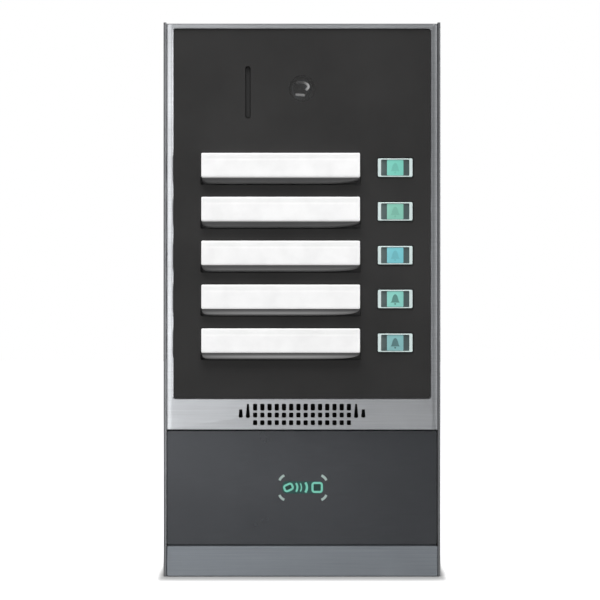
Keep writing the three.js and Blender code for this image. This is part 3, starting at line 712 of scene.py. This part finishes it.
def crownStrips(work):
    # both side strips fall away outwards: depth grows with the square of the way across the strip,
    # and the top strip leans back a little towards its upper edge
    plate, rim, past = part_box("upper_fascia")[1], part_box("front_frame")[1], frameSet["opening"]
    inner, outer, top, crest = plate.x + past, rim.x, plate.z + past, rim.z
    for x in np.linspace(inner, outer, frameSet["cuts"], endpoint=False):
        for side in (-1, 1):
            bmesh.ops.bisect_plane(
                work, geom=work.verts[:] + work.edges[:] + work.faces[:],
                plane_co=(side * x, 0, 0), plane_no=(1, 0, 0), dist=1e-6,
            )
    for vert in work.verts:
        if vert.co.y < frontPlane + frameSet["faceDeep"]:
            across = max(0.0, (abs(vert.co.x) - inner) / (outer - inner))
            up = max(0.0, (vert.co.z - top) / (crest - top))
            if across > 0.99:  # the outer edge itself
                vert.co.y = min(vert.co.y, frontPlane + frameSet["sideEdge"])
            vert.co.y += frameSet["crown"] * across ** 2 + frameSet["topTilt"] * up
    meetRails(work)


softenedCopy(
    "front_frame", "frameCasting", "silverFrame", frameSet["soft"], crownStrips,
    frameSet["sharp"],
)
# each piece's name, finish, slot and edge radius in mm
housingSet = {
    "top_cap": ("topWall", "silverFrame", "silver_aluminium", 0.10),
    "bottom_cap": ("bottomBar", "silverBar", "silver_aluminium", 0.03),
    "upper_fascia": ("fasciaPlate", "fasciaBlack", "black_acrylic", 0.05),
    "reader_panel": ("readerPlate", "readerGraphite", "dark_reader_plate", 0.08),
    "back_box": ("wallBox", "mouldedBlack", "black_plastic", 0.25),
    "chassis": ("boardTray", "mouldedBlack", "black_plastic", 0.2),
    "security_screw_left": ("lockScrewLeft", "screwSteel", "screw_steel", 0.12),
    "security_screw_right": ("lockScrewRight", "screwSteel", "screw_steel", 0.12),
    "terminal_block": ("wireTerminals", "terminalGreen", "green_terminal", 0.12),
    "wall_gasket": ("wallSeal", "sealRubber", "rubber_seal", 0.25),
    "cable_grommet": ("cableThroat", "sealRubber", "rubber_seal", 0.3),
}
shapings = {"bottom_cap": meetRails, "reader_panel": meetNeighbours}
for cadNode, (pieceName, finishName, slotName, edgeSize) in housingSet.items():
    softenedCopy(cadNode, pieceName, finishName, edgeSize * mm, shapings.get(cadNode))
print("housing ready")


# call keys
keySet = {
    "corner": 0.45 * mm, "edge": 0.40 * mm, "columns": 61, "rows": 41, "wall": 0.8 * mm, "inside": 1.05 * mm,
    "browFall": 0.07 * mm, "browWide": 2.1 * mm, "browStep": 0.35 * mm, "browFade": 1.2 * mm,
    "footFall": 0.10 * mm, "footWide": 1.2 * mm,
}
chinSet = {
    "height": 1.95 * mm, "least": 0.15 * mm, "depth": 2.7 * mm, "steps": 64, "turns": 12, "root": 6.0 * mm,
    "leftPower": 22.0, "rightPower": 5.5, "below": 0.2 * mm, "behind": 0.45 * mm, "inset": 0.1 * mm,
    # the last entries paint a highlight on the lip: its level row by row (brighter on the lower rows), where
    # it peaks, its width, its fall along the key and how far in front of the flange it stops
    "paintedHighlight": (0.0, 0.0, 0.05, 0.16, 0.24), "paintedHighlightMiddle": 0.62, "paintedHighlightWide": 0.30, "paintedHighlightFall": 0.5,
    "paintedHighlightAhead": 1 * mm,
}


def coverFace(edges, front):
    # two parameters, across and up the cap. Depth = rounded edge + a brow along the top that falls
    # back steadily, then steps forward to the card window, + a soft fall at the foot
    left, right, low, high = edges
    corner, edge = keySet["corner"], keySet["edge"]
    across = np.sin(np.linspace(-np.pi / 2, np.pi / 2, keySet["columns"]))
    up = np.sin(np.linspace(-np.pi / 2, np.pi / 2, keySet["rows"]))
    halfX, halfZ = (right - left) / 2, (high - low) / 2
    z = (low + high) / 2 + up * halfZ
    past = np.clip(np.abs(up) * halfZ - (halfZ - corner), 0, corner)
    width = halfX - corner + np.sqrt(corner ** 2 - past ** 2)
    x = (left + right) / 2 + across[None, :] * width[:, None]
    z = np.repeat(z[:, None], x.shape[1], axis=1)
    outX = np.abs(x - (left + right) / 2) - (halfX - corner)
    outZ = np.abs(z - (low + high) / 2) - (halfZ - corner)
    beyond = np.hypot(np.maximum(outX, 0), np.maximum(outZ, 0))
    inside = corner - beyond - np.minimum(np.maximum(outX, outZ), 0)
    rounding = edge * (1 - np.sqrt(1 - (1 - np.clip(inside / edge, 0, 1)) ** 2))
    fromTop = high - z
    brow = np.interp(
        fromTop, [0, keySet["edge"], keySet["browWide"], keySet["browWide"] + keySet["browStep"]],
        [0, 0, keySet["browFall"], tiny],
    )
    fade = np.clip((inside - edge) / keySet["browFade"], 0, 1)
    foot = keySet["footFall"] * np.clip(1 - (z - low) / keySet["footWide"], 0, 1) ** 2
    y = front + rounding + brow * fade + foot
    return np.stack([x, y, z], axis=2)


def coverShell(node):
    # the face, an outer wall down to the rear rim, an inner wall back up, and the inner face
    edges, front, rear = boxEdges(node)
    face = coverFace(edges, front)
    rows, columns = face.shape[:2]
    index = np.arange(rows * columns).reshape(rows, columns)
    quads = np.stack([index[:-1, :-1], index[:-1, 1:], index[1:, 1:], index[1:, :-1]], axis=2).reshape(-1, 4)
    border = np.concatenate([index[0, :-1], index[:-1, -1], index[-1, :0:-1], index[:0:-1, 0]])
    loop = face.reshape(-1, 3)[border]
    around = len(border)
    middle = np.array([(edges[0] + edges[1]) / 2, 0, (edges[2] + edges[3]) / 2])
    half = np.array([(edges[1] - edges[0]) / 2, 1, (edges[3] - edges[2]) / 2])
    shrink = 1 - keySet["wall"] / half
    innerLoop = middle + (loop - middle) * np.array([shrink[0], 1, shrink[2]])
    rings = []
    for ring, depth in ((loop, rear), (innerLoop, rear), (innerLoop, front + keySet["inside"])):
        level = ring.copy()
        level[:, 1] = depth
        rings.append(level)
    start = rows * columns
    faces = quads.tolist()
    ringIndex = [border] + [np.arange(around) + start + around * k for k in range(3)]
    for a, b in zip(ringIndex[:-1], ringIndex[1:]):
        faces += np.stack([a, np.roll(a, -1), np.roll(b, -1), b], axis=1).tolist()
    faces.append(ringIndex[-1].tolist())
    return np.vstack([face.reshape(-1, 3), *rings]), faces


def chinSurface(low, high, top, front):
    # two parameters: along the key and round the lip. The lip's height fades at both ends as
    # (1 - |s|^p)^(1/2), sooner on the right, and its section is a quarter ellipse from front to back
    along = np.sin(np.linspace(-np.pi / 2, np.pi / 2, chinSet["steps"]))
    power = np.where(along < 0, chinSet["leftPower"], chinSet["rightPower"])
    height = chinSet["height"] * np.sqrt(np.clip(1 - np.abs(along) ** power, 0, 1)) + chinSet["least"]
    x = low + (high - low) * (along + 1) / 2
    turn = np.linspace(0, np.pi / 2, chinSet["turns"])
    z = top - height[:, None] * np.sin(turn)
    y = front + chinSet["depth"] * (1 - np.cos(turn))[None, :] + 0 * z
    lip = np.stack([x[:, None] + 0 * z, y, z], axis=2)
    rear = lip[:, [-1, 0], :]  # the foot and the roof of the lip, carried back to its root
    rear[:, :, 1] = front + chinSet["root"]
    section = np.concatenate([lip, rear], axis=1)
    return section.reshape(-1, 3), skinFaces(len(x), section.shape[1])


carrierSet = {
    "flangeFront": 3.9 * mm, "flangeRear": 5.1 * mm, "flangeCorner": 1.2 * mm,
    "stemRadius": 2 * mm, "stemEdge": 0.2 * mm, "stemSteps": 32,
    "cardCorner": 0.5 * mm, "cardInset": 0.2 * mm, "cardBack": 0.15 * mm,
    "windowInset": 1.2 * mm, "windowBack": 1.5 * mm,
}


def makeKey(row):
    # the cap, the card and a carrier that joins the lip, a flange, both seats and the stem
    body = f"key_{row}"
    cover, coverFront, _ = boxEdges(f"key_cover_{row}")
    window, windowFront, _ = boxEdges(f"bell_window_{row}")
    flange, _, stemEnd = boxEdges(f"call_key_{row}")
    card, cardFront, cardRear = boxEdges(f"name_card_{row}")
    plateFront = frontPlane + carrierSet["flangeFront"]
    plateRear = frontPlane + carrierSet["flangeRear"]
    middle = (plateFront + plateRear) / 2

    shell = coverShell(f"key_cover_{row}")
    shell = makePiece(f"key_cover_{row}_cap", *shell, "coverOpal", body, "key_cover_clear")
    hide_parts(f"key_cover_{row}")

    profile = [(closing, cardRear), (0.0, cardRear), (0.0, cardFront), (closing, cardFront)]
    paper = carryRound(card, carrierSet["cardCorner"], profile)
    paper = makePiece(f"name_card_{row}_paper", *paper, "cardWhite", body, "name_card_paper")
    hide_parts(f"name_card_{row}")

    stemSize, stemEdge = carrierSet["stemRadius"], carrierSet["stemEdge"]
    plungerLow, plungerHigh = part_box(f"switch_plunger_{row}")
    stemX, stemZ = (plungerLow.x + plungerHigh.x) / 2, (plungerLow.z + plungerHigh.z) / 2
    stem = turnedSurface(stemX, stemZ, [
        (0, middle), (stemSize, middle), (stemSize, stemEnd - stemEdge), (stemSize - stemEdge, stemEnd),
        (0, stemEnd),
    ], carrierSet["stemSteps"])
    inset, windowBack = chinSet["inset"], windowFront + carrierSet["windowBack"]
    chin = chinSurface(
        cover[0] + inset, cover[1] - inset, cover[2] - chinSet["below"], coverFront + chinSet["behind"],
    )
    parts = mergeParts(
        chin,
        plainBlock(flange, plateFront, plateRear, carrierSet["flangeCorner"]),
        plainBlock(shrinkEdges(card, carrierSet["cardInset"]), cardRear + carrierSet["cardBack"], middle),
        plainBlock(shrinkEdges(window, carrierSet["windowInset"]), windowBack, middle),
        stem,
    )
    carrier = makePiece(f"call_key_{row}_carrier", *parts, "keyGrey", body, "key_grey")
    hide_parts(f"call_key_{row}")

    # painted highlight on the lip, brighter on the lower rows, standing in for light from below: exp(-((drop
    # - middle) / wide)^2) * (1 - fall * along^2)
    x, y, z = readPoints(carrier)
    drop = (chin[0][:, 2].max() - z) / chinSet["height"]
    along = (2 * x - cover[0] - cover[1]) / (cover[1] - cover[0])
    paintedHighlight = np.exp(-((drop - chinSet["paintedHighlightMiddle"]) / chinSet["paintedHighlightWide"]) ** 2)
    paintedHighlight *= (1 - chinSet["paintedHighlightFall"] * along ** 2) * chinSet["paintedHighlight"][row - 1]
    writePaintedHighlight(carrier, np.where(y < plateFront - chinSet["paintedHighlightAhead"], paintedHighlight, 0))


# bell windows; each span is from front to rear, measured behind the rim's front
bellSet = {
    "sideBar": 1.1 * mm, "topBar": 0.36 * mm, "round": 0.4 * mm, "edge": 0.12 * mm, "holeRound": 0.3 * mm,
    "holeMid": 1.0 * mm,
    "paneSpan": (0.35 * mm, 0.95 * mm), "paneGap": 0.03 * mm, "paneEdge": 0.05 * mm,
    "lampWidth": 5.7 * mm, "lampGap": 0.12 * mm, "lampSpan": (0.2 * mm, 0.42 * mm),
    "bellHeight": 2.9 * mm, "bellWidth": 1.15 * mm, "bellFlare": 0.5 * mm, "bellLow": 0.42,
    "clapper": 0.32 * mm, "clapperDrop": 1.68 * mm, "markBack": 0.15 * mm, "markThick": 0.08 * mm,
}


def bellOutline(x, z):
    # half width = body * sqrt(1 - h^2) + flare * exp(-8 * h), with h rising from the rim to the crown
    h = np.linspace(0, 1, 18)
    half = bellSet["bellWidth"] * np.sqrt(1 - h ** 2) + bellSet["bellFlare"] * np.exp(-8 * h)
    half[-1] = 0.0
    up = z - bellSet["bellHeight"] * bellSet["bellLow"] + h * bellSet["bellHeight"]
    right = np.column_stack([x + half, up])
    left = np.column_stack([x - half, up])[::-1][1:]
    return np.vstack([right, left])


def insetBlock(edges, front, span):
    return plainBlock(edges, front + span[0], front + span[1], bellSet["holeRound"], bellSet["paneEdge"])


def makeBellWindow(row):
    # a rim with a hole through it, and in the hole a dark pane, a lamp field and a bell
    body = f"key_{row}"
    edges, front, rear = boxEdges(f"bell_window_{row}")
    left, right, low, high = edges
    x, z = (left + right) / 2, (low + high) / 2
    side, top, corner, edge = bellSet["sideBar"], bellSet["topBar"], bellSet["round"], bellSet["edge"]
    hole, holeRound = (left + side, right - side, low + top, high - top), bellSet["holeRound"]
    rings = [roundedRing(*edges, corner, y) for y in (rear, front + edge)]
    rings.append(roundedRing(*shrinkEdges(edges, edge), corner - edge, front))
    rings += [roundedRing(*hole, holeRound, y) for y in (front, front + bellSet["holeMid"], rear)]
    faces = skinFaces(len(rings), rings[0].shape[0], True)
    rim = makePiece(
        f"bell_window_{row}_rim", np.concatenate(rings), faces, "bellFrame", body, "bell_window_teal",
    )
    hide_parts(f"bell_window_{row}")

    half = bellSet["lampWidth"] / 2
    lampEdges = (x - half, x + half, hole[2] + bellSet["lampGap"], hole[3] - bellSet["lampGap"])
    turn = np.linspace(0, 2 * np.pi, 14, endpoint=False)
    size = bellSet["clapper"]
    clapper = np.column_stack([x + size * np.cos(turn), z - bellSet["clapperDrop"] + size * np.sin(turn)])
    markFront, markThick = front + bellSet["markBack"], bellSet["markThick"]
    shapes = {
        "pane": (insetBlock(shrinkEdges(hole, bellSet["paneGap"]), front, bellSet["paneSpan"]), "bellDark"),
        "lamp": (insetBlock(lampEdges, front, bellSet["lampSpan"]), f"bellLamp{row}"),
        "mark": (mergeParts(
            flatPiece(bellOutline(x, z), markFront, markThick), flatPiece(clapper, markFront, markThick),
        ), f"bellMark{row}"),
    }
    for label, (shape, finish) in shapes.items():
        makePiece(f"bell_window_{row}_{label}", *shape, finish, body, "bell_window_teal")


for keyRow in range(1, rowCount + 1):
    makeKey(keyRow)
    makeBellWindow(keyRow)
print("call keys and bell windows ready")


# camera; the hook and the foot draw a painted glint, and they and glowAt are in mm from the lens's middle
eyeSet = {
    "paneRadius": 4.58 * mm, "paneEdge": 0.03 * mm, "paneSteps": 128, "sag": 2.9 * mm, "lensSteps": 96,
    "wire": 0.42 * mm, "behindPane": 0.75 * mm, "wireEnds": 0.12,
    "hook": (
        (-2.1, 2.25), (-1.0, 2.4), (0.2, 2.35), (1.3, 2.0),
        (2.1, 1.35), (2.2, 0.75), (1.9, 0.15), (1.35, -0.45),
    ),
    "foot": ((-2.3, -1.92), (-1.0, -2.0), (0.2, -2.1), (1.0, -2.22)), "footBelow": 1.4 * mm,
    "glowAt": (-2.2, 0.4, 1.2, 2.3), "hookGlow": (0.05, 0.07, 0.42, 1.05), "footGlow": 0.44,
}


def wirePiece(path, x, z, depth, radius, around=14, steps=40):
    # a round wire along a smooth line: each ring is middle + radius * (normal * cos + depth * sin),
    # with the radius drawn in over both ends as sqrt(1 - u^2)
    path = np.array(path) * mm + np.array([x, z])
    knots = np.linspace(0, 1, len(path))
    place = np.linspace(0, 1, steps)
    order = min(len(path) - 1, 5)
    line = np.column_stack([np.polyval(np.polyfit(knots, path[:, k], order), place) for k in (0, 1)])
    along = np.gradient(line, axis=0)
    along /= np.linalg.norm(along, axis=1)[:, None]
    aside = np.column_stack([-along[:, 1], along[:, 0]])
    ends = eyeSet["wireEnds"]
    size = radius * np.sqrt(1 - np.clip((np.abs(place * 2 - 1) - 1 + ends) / ends, 0, 0.97) ** 2)
    turn = np.linspace(0, 2 * np.pi, around, endpoint=False)
    reach = size[:, None] * np.cos(turn)
    ringX = line[:, :1] + aside[:, :1] * reach
    ringZ = line[:, 1:] + aside[:, 1:] * reach
    ringY = depth + size[:, None] * np.sin(turn)
    return np.stack([ringX, ringY, ringZ], axis=2).reshape(-1, 3), skinFaces(steps, around)


def makeEye():
    edges, front, rear = boxEdges("camera_window")
    x, z = (edges[0] + edges[1]) / 2, (edges[2] + edges[3]) / 2
    radius, edge = eyeSet["paneRadius"], eyeSet["paneEdge"]
    pane = [(0, rear), (radius, rear), (radius, front + edge), (radius - edge, front), (0, front)]
    pane = turnedSurface(x, z, pane, eyeSet["paneSteps"])
    piece = makePiece("camera_window_pane", *pane, "smokedPane", "panel", "smoked_window")
    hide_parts("camera_window")
    paneRear = rear

    # dome: depth = front + sag * (1 - cos), radius = r * sin, over a quarter turn
    edges, front, rear = boxEdges("camera_lens")
    radius = (edges[1] - edges[0]) / 2
    turn = np.linspace(0, np.pi / 2, 20)
    dome = list(zip(radius * np.sin(turn), front + eyeSet["sag"] * (1 - np.cos(turn))))
    dome += [(radius, rear), (0, rear)]
    dome = turnedSurface(x, z, dome, eyeSet["lensSteps"])
    piece = makePiece("camera_lens_dome", *dome, "lensGlass", "panel", "lens_glass")
    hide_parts("camera_lens")

    # a painted glint: a wire hooked round the lens that glows, brightest at its right, and its foot below,
    # standing in for the lens's reflection of the lights
    depth = paneRear + eyeSet["behindPane"]
    wires = mergeParts(*[wirePiece(eyeSet[line], x, z, depth, eyeSet["wire"]) for line in ("hook", "foot")])
    guide = makePiece("camera_painted_glint", *wires, "statusGuide", "panel", "clear_light_guide")
    across, _, up = readPoints(guide)
    glow = np.interp(across - x, np.array(eyeSet["glowAt"]) * mm, eyeSet["hookGlow"])
    writePaintedHighlight(guide, np.where(up < z - eyeSet["footBelow"], eyeSet["footGlow"], glow))


makeEye()


micSet = {
    "slotLow": 63.0 * mm, "slotHigh": 80.6 * mm, "slotHalf": 0.78 * mm, "front": 1.35 * mm, "rear": 1.55 * mm,
    "edge": 0.06 * mm, "cornerLess": 0.05 * mm,
}


def makeMicrophoneGauze():
    # a strip of dark gauze on the floor of the slot, over the capsule's hole
    low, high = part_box("microphone_capsule")
    x = (low.x + high.x) / 2
    half = micSet["slotHalf"]
    edges = (x - half, x + half, micSet["slotLow"], micSet["slotHigh"])
    front, rear = frontPlane + micSet["front"], frontPlane + micSet["rear"]
    gauze = plainBlock(edges, front, rear, half - micSet["cornerLess"], micSet["edge"])
    makePiece("microphone_gauze", *gauze, "micGauze", "panel", "speaker_paper")


makeMicrophoneGauze()
print("camera and microphone ready")


# card reader symbol. Each wave is (aside, radius, half angle, line share), and each rounded shape is
# (aside, half width, half height, corner radius, lean); lengths in them are in mm and angles in degrees
symbolSet = {
    "width": 16.6 * mm, "height": 8.8 * mm, "aside": 0.3 * mm, "drop": 0.42 * mm, "markDrop": 0.5 * mm,
    "bend": 2.9 * mm, "bendHalf": 24, "cornerLine": 0.85 * mm, "line": 0.72 * mm,
    "proud": 0.05 * mm, "sink": 0.12 * mm, "fieldBack": 0.02 * mm, "shadeBack": 0.04 * mm,
    "waves": ((-1.9, 2.4, 38, 0.95), (-0.5, 2.6, 33, 0.6), (1.4, 2.9, 36, 1.1)),
    "shapes": ((-5.0, 1.45, 1.05, 0.75, 24.0), (4.95, 1.62, 1.55, 0.7, 0.0)),  # leaning card, upright tag
    "fields": ((-5.0, 1.15, 0.75, 0.5, 24.0), (4.95, 1.3, 1.25, 0.5, 0.0)),
    "shade": (0.0, 7.1, 2.1, 1.2, 0.0),
}


def arcPath(x, z, radius, half, steps=14):
    # an arc that opens to the left, from minus to plus half its angle
    turn = np.radians(np.linspace(-half, half, steps))
    return np.column_stack([x - radius + radius * np.cos(turn), z + radius * np.sin(turn)])


def roundOutline(x, z, shape):
    # a rounded rectangle about its own middle, turned by the lean: ring @ [[cos, sin], [-sin, cos]] + middle
    aside, halfX, halfZ, corner = (size * mm for size in shape[:4])
    ring = roundedRing(-halfX, halfX, -halfZ, halfZ, corner, 0)[:, [0, 2]]
    c, s = math.cos(math.radians(shape[4])), math.sin(math.radians(shape[4]))
    return ring @ np.array([[c, s], [-s, c]]) + np.array([x + aside, z])


def makeSymbol():
    # inlays that stand a hair proud of the reader plate
    low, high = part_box("reader_light_guide")
    x = (low.x + high.x) / 2 + symbolSet["aside"]
    z = (low.z + high.z) / 2
    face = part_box("reader_panel")[0].y - symbolSet["proud"]
    thick = symbolSet["proud"] + symbolSet["sink"]
    line = symbolSet["line"]

    # corner marks: short bends about the diagonals of the field
    halfW, halfH, bend = symbolSet["width"] / 2, symbolSet["height"] / 2, symbolSet["bend"]
    turn = np.radians(np.linspace(45 - symbolSet["bendHalf"], 45 + symbolSet["bendHalf"], 9))
    bends = []
    for sideX in (-1, 1):
        for sideZ in (-1, 1):
            bendX = x + sideX * (halfW - bend + bend * np.cos(turn))
            bendZ = z - symbolSet["markDrop"] + sideZ * (halfH - bend + bend * np.sin(turn))
            bends.append(ribbon(np.column_stack([bendX, bendZ]), symbolSet["cornerLine"], face, thick))
    makePiece("reader_corner_marks", *mergeParts(*bends), "readerPale", "panel", "clear_light_guide")

    # the card, the waves and the tag, a dark field inside the card and the tag, and a deep shade round them
    z -= symbolSet["drop"]
    lines = [ribbon(roundOutline(x, z, shape), line, face, thick, True) for shape in symbolSet["shapes"]]
    for reach, radius, half, share in symbolSet["waves"]:
        lines.append(ribbon(arcPath(x + reach * mm, z, radius * mm, half), line * share, face, thick))
    shade = flatPiece(roundOutline(x, z, symbolSet["shade"]), face + symbolSet["shadeBack"], thick)
    back = face + symbolSet["fieldBack"]
    fields = [flatPiece(roundOutline(x, z, shape), back, thick) for shape in symbolSet["fields"]]
    for name, shape, finish in (
        ("reader_symbol", mergeParts(*lines), "readerGlow"), ("reader_symbol_shade", shade, "readerShade"),
        ("reader_symbol_fields", mergeParts(*fields), "readerDeep"),
    ):
        makePiece(name, *shape, finish, "panel", "clear_light_guide")


makeSymbol()
print("reader symbol ready")


# inside pieces that keep their CAD shape
plainFinishes = {
    "boardGreen": ["key_board", "main_board", "camera_board", "reader_antenna_board"],
    "mouldedBlack": ["board_link", "speaker_basket"],
    "barrelBlack": ["camera_barrel"],
    "sealRubber": ["microphone_boot", "speaker_gasket"],
    "siliconeGrey": ["key_mat"],
    "screwSteel": ["speaker_magnet", "microphone_capsule"],
    "coneBlack": ["speaker_cone"],
    "guideClear": ["reader_light_guide"],
    "switchBlack": [f"tact_switch_{row}" for row in range(1, rowCount + 1)],
    "plungerTan": [f"switch_plunger_{row}" for row in range(1, rowCount + 1)],
}
for finishName, names in plainFinishes.items():
    for cadNode in names:
        for place in nodes[cadNode].material_slots:
            place.material = finishes[finishName]
print("inside pieces ready")
